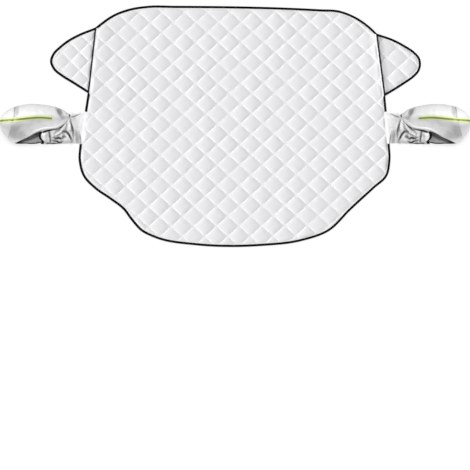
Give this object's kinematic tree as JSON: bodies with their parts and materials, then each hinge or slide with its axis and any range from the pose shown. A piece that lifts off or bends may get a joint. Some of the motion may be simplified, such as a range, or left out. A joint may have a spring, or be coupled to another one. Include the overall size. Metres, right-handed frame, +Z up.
{
  "type": "windshield frost cover",
  "caption": "Quilted cover that lies over a windshield, with a bound edge, door flaps at its sides and bags that go over the door mirrors.",
  "frame": {"origin": "middle of the cover's outline, on the ground that it lies on", "axes": "+X along the windshield towards the right bag in the picture, +Y towards the roof edge, +Z up out of the outer face"},
  "size_m": [2.3472, 1.2068, 0.1032],
  "materials": {
    "quilting": "pale satin laminate, sewn in diamonds",
    "binding": "matt black woven tape",
    "silver_cloth": "silver coated cloth, creased",
    "strip": "fluorescent lime tape",
    "reflector": "olive grey reflective tape",
    "elastic": "black covered elastic"
  },
  "bodies": {
    "root": {"main_panel": "quilting", "upper_binding": "binding", "lower_binding": "binding", "left_door_flap": "quilting", "left_flap_binding": "binding", "left_bag_body": "silver_cloth", "left_bag_end": "silver_cloth", "left_bag_sleeve": "silver_cloth", "left_strip": "strip", "left_reflector": "reflector", "left_mouth_elastic": "elastic", "right_door_flap": "quilting", "right_flap_binding": "binding", "right_bag_body": "silver_cloth", "right_bag_end": "silver_cloth", "right_bag_sleeve": "silver_cloth", "right_strip": "strip", "right_reflector": "reflector", "right_mouth_elastic": "elastic"}
  },
  "joints": []
}
